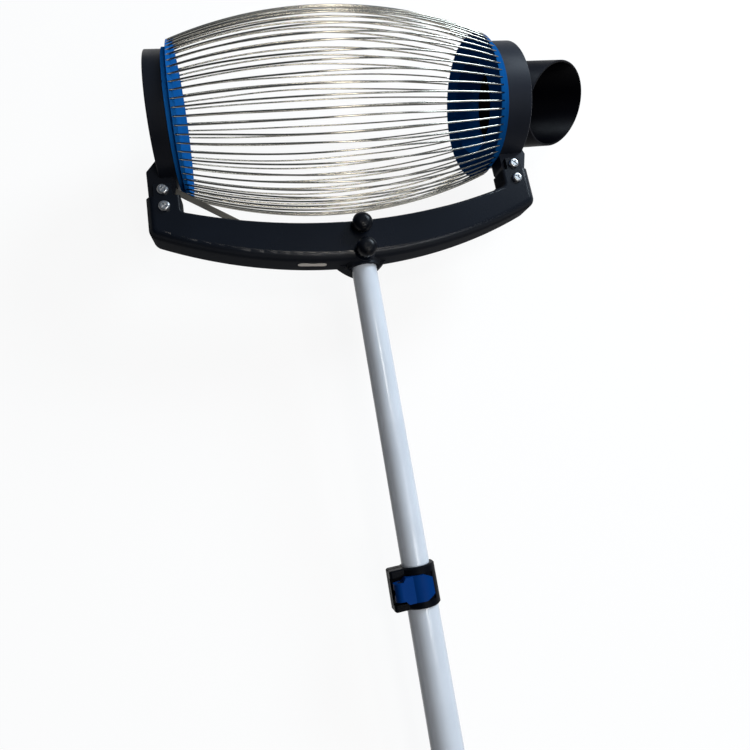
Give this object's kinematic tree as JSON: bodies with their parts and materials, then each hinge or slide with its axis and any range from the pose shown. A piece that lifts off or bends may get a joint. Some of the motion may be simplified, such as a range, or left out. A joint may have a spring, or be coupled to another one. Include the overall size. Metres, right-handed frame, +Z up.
{
  "type": "olive harvester",
  "caption": "Hand-pushed olive harvester: barrel cage of bowed steel wires turning between two rings on a curved yoke, slanted outlet chute at one end, telescopic tube handle with a flip clamp",
  "frame": {"origin": "on the floor under the middle of the wire drum, which is where the drum touches the floor", "axes": "+X along the drum's axis towards the outlet chute, +Y from the handle's end towards the drum, +Z up; the tool lies on its drum and on the end of its handle"},
  "size_m": [0.5157, 1.2295, 0.2099],
  "materials": {
    "black_plastic": "moulded, fine satin grain",
    "blue_plastic": "moulded, semi-gloss",
    "wire_steel": "bright drawn stainless wire",
    "zinc_steel": "zinc plated",
    "dark_steel": "dull rolled strip",
    "tube_aluminium": "satin anodised",
    "brass": "turned",
    "bearing_plastic": "smooth moulded",
    "pale_inlay": "blank, satin",
    "grip_rubber": "ribbed, matt"
  },
  "bodies": {
    "frame": {"yoke": "black_plastic", "left_ring": "black_plastic", "right_ring": "black_plastic", "outlet_chute": "black_plastic", "left_bearing": "bearing_plastic", "right_bearing": "bearing_plastic", "ear_screws": "zinc_steel", "knob_inserts": "brass", "stay_strip": "dark_steel", "underside_inlay": "pale_inlay", "upper_tube": "tube_aluminium", "guide_plug": "black_plastic"},
    "drum": {"left_disc": "blue_plastic", "right_disc": "blue_plastic", "cage_wires": "wire_steel"},
    "lower_handle": {"lower_tube": "tube_aluminium", "clamp_body": "black_plastic", "clamp_pin": "zinc_steel", "clamp_bolt": "zinc_steel", "grip": "grip_rubber", "end_cap": "black_plastic"},
    "lever": {"clamp_lever": "blue_plastic"},
    "upper_thumbscrew": {"upper_knob": "black_plastic", "upper_stud": "zinc_steel"},
    "lower_thumbscrew": {"lower_knob": "black_plastic", "lower_stud": "zinc_steel"}
  },
  "joints": [
    {"name": "drum_spin", "type": "hinge", "parent": "frame", "child": "drum", "pos_m": [0, 0, 0.105], "axis": [1, 0, 0], "continuous": true},
    {"name": "telescope", "type": "slide", "parent": "frame", "child": "lower_handle", "axis": [0, -0.9969, -0.0788], "range_m": [-0.268, 0.255]},
    {"name": "lever_flip", "type": "hinge", "parent": "lower_handle", "child": "lever", "pos_m": [-0.0162, -0.46455, 0.07969], "axis": [0, -0.9969, -0.0788], "range_deg": [0, 90]},
    {"name": "upper_thumbscrew_turn", "type": "hinge", "parent": "frame", "child": "upper_thumbscrew", "pos_m": [0.0025, -0.13546, 0.11435], "axis": [0, -0.0788, 0.9969], "range_deg": [0, 540]},
    {"name": "lower_thumbscrew_turn", "type": "hinge", "parent": "frame", "child": "lower_thumbscrew", "pos_m": [0.0025, -0.16068, 0.11235], "axis": [0, -0.0788, 0.9969], "range_deg": [0, 540]}
  ]
}
